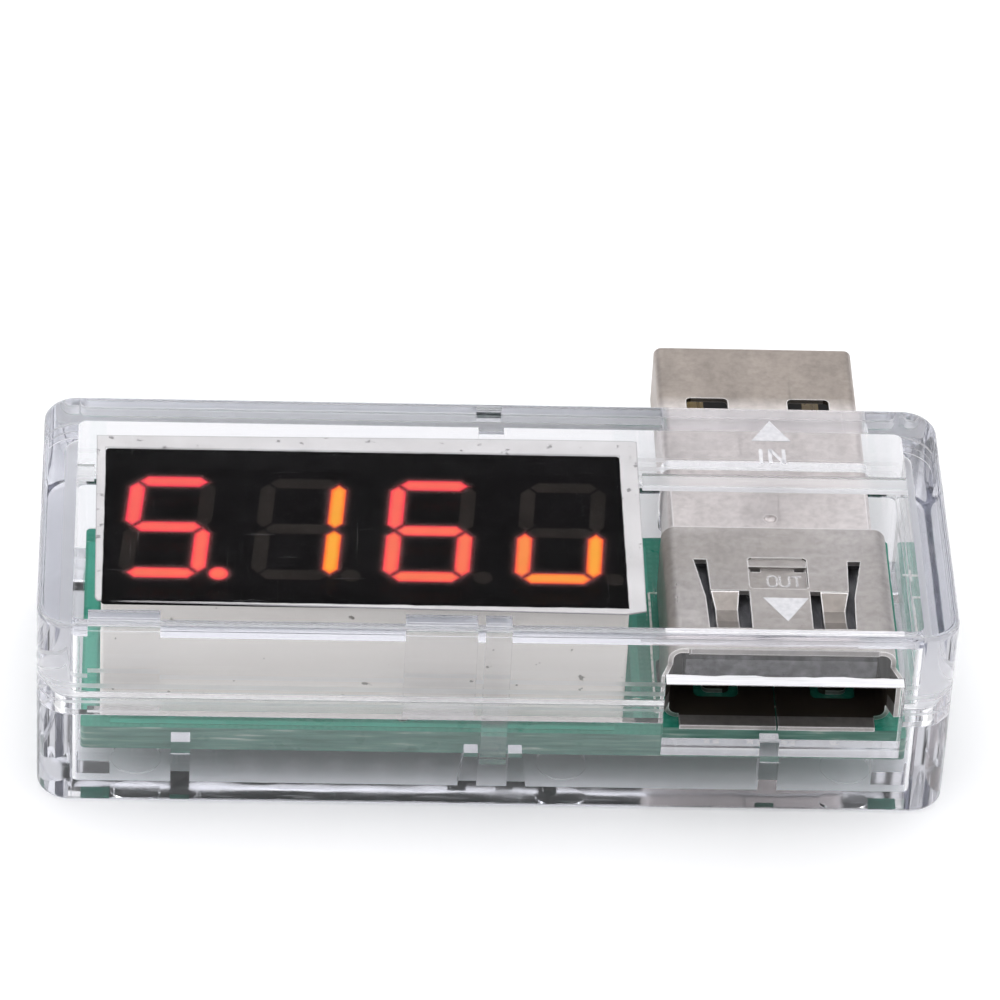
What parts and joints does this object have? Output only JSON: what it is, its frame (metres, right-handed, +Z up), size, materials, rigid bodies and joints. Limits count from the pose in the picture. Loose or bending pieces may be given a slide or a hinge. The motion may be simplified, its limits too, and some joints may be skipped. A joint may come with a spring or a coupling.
{
  "type": "usb power meter",
  "caption": "Clear cased in-line USB voltage and current meter with a red digit display, a plug at the back and a socket at the front.",
  "frame": {"origin": "centre of the underside of the case, without the plug", "axes": "+X along the case towards the connectors' end, +Y out of the back where the plug points, +Z up out of the display side"},
  "size_m": [0.0524, 0.0325, 0.0132],
  "materials": {
    "clear_plastic": "clear polished polystyrene, slightly cool",
    "frosted_mark": "frosted raised mark",
    "solder_mask": "green solder mask over glass fibre laminate",
    "display_housing": "off-white moulded housing",
    "display_face": "black face, smooth",
    "lit_segment": "glowing red diffuser",
    "dark_segment": "unlit diffuser, dark grey",
    "film": "thin clear film",
    "plated_steel": "bright nickel plating with a fine drawn grain",
    "spring_steel": "bright nickel plating",
    "contact": "gold flashed contact",
    "pin": "tinned pin",
    "solder": "bright solder",
    "black_insulator": "black moulded insulator",
    "chip_epoxy": "black epoxy",
    "ceramic_black": "black glazed resistor body",
    "ceramic_tan": "tan ceramic"
  },
  "bodies": {
    "base": {"bottom_shell": "clear_plastic", "circuit_board": "solder_mask", "display_body": "display_housing", "display_face": "display_face", "display_lit_segments": "lit_segment", "display_dark_segments": "dark_segment", "display_pins": "pin", "protective_film": "film", "display_solder_joints": "solder", "connector_solder_joints": "solder", "plug_shell": "plated_steel", "plug_contacts": "contact", "plug_insulator": "black_insulator", "socket_shell": "plated_steel", "socket_contacts": "contact", "socket_tongue": "black_insulator", "microcontroller": "chip_epoxy", "microcontroller_leads": "pin", "voltage_regulator": "chip_epoxy", "regulator_leads": "pin", "shunt_resistor": "ceramic_black", "shunt_end_caps": "solder", "tank_capacitor": "ceramic_tan", "tank_capacitor_end_caps": "solder", "chip_resistors": "ceramic_black", "chip_capacitors": "ceramic_tan", "chip_end_caps": "solder"},
    "cover": {"top_shell": "clear_plastic", "direction_arrows": "frosted_mark"},
    "left_spring": {"socket_spring_left": "spring_steel"},
    "right_spring": {"socket_spring_right": "spring_steel"}
  },
  "joints": [
    {"name": "cover_lift", "type": "slide", "parent": "base", "child": "cover", "axis": [0, 0, 1], "range_m": [0, 0.014]},
    {"name": "left_spring_bend", "type": "hinge", "parent": "base", "child": "left_spring", "pos_m": [0.01325, -0.00339, 0.0097], "axis": [-1, 0, 0], "range_deg": [0, 8], "stiffness_Nm_per_rad": 0.01},
    {"name": "right_spring_bend", "type": "hinge", "parent": "base", "child": "right_spring", "pos_m": [0.01955, -0.00339, 0.0097], "axis": [-1, 0, 0], "range_deg": [0, 8], "stiffness_Nm_per_rad": 0.01}
  ]
}
